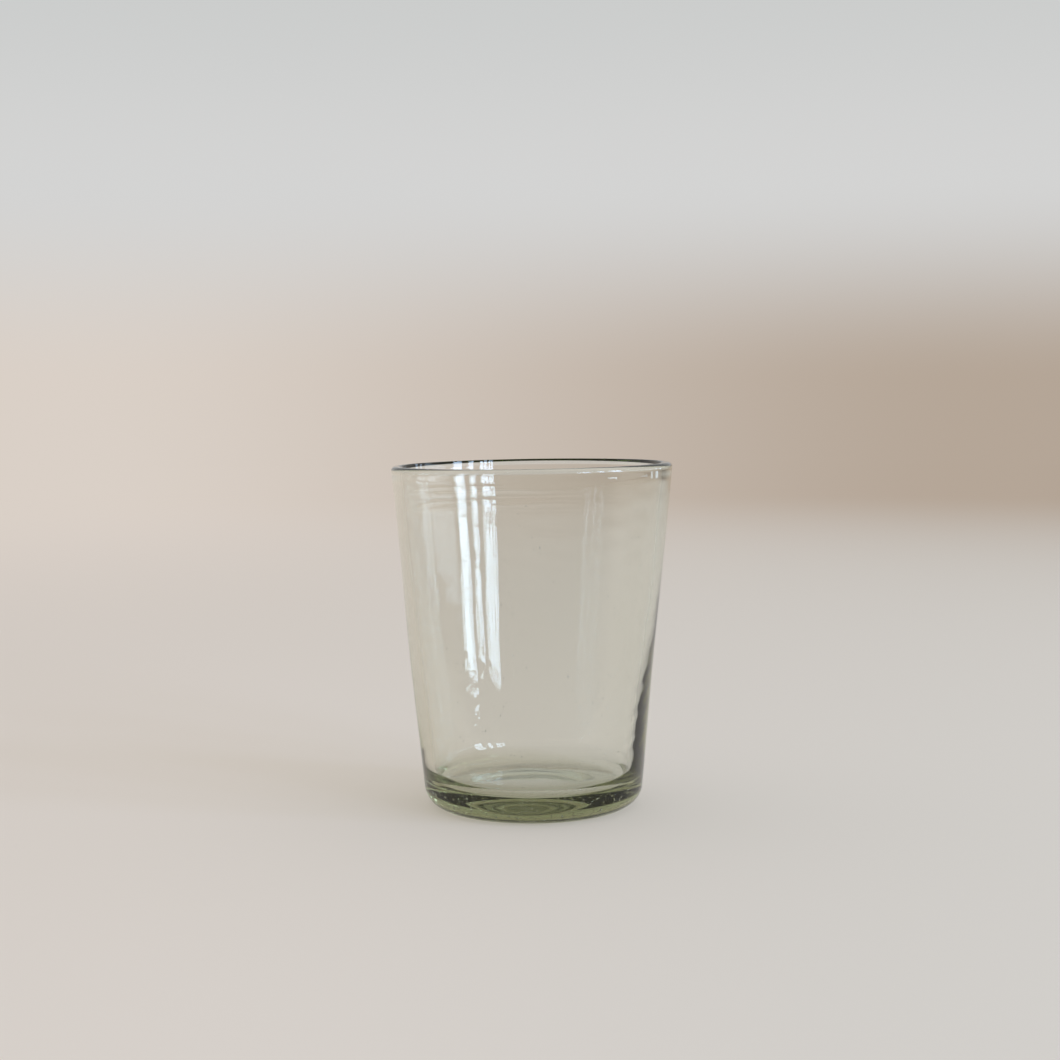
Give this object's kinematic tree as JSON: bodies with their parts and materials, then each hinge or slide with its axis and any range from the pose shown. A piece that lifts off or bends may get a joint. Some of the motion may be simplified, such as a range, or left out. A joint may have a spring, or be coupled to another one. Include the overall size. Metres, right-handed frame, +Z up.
{
  "type": "rocks glass",
  "caption": "Tapered hand-blown rocks glass with a fire-polished rim, a heavy rounded base and a pushed-up underside with a pontil mark; holds a short drink.",
  "frame": {"origin": "centre of the resting ring, on the table", "axes": "+Z up along the glass's axis; X and Y are alike, since the glass is round"},
  "size_m": [0.084, 0.084, 0.103],
  "materials": {
    "glass": "clear blown glass with a faint olive tint, seeds and cords, fire-polished"
  },
  "bodies": {
    "root": {"rim": "glass", "wall": "glass", "base": "glass", "pontil_mark": "glass"}
  },
  "joints": []
}
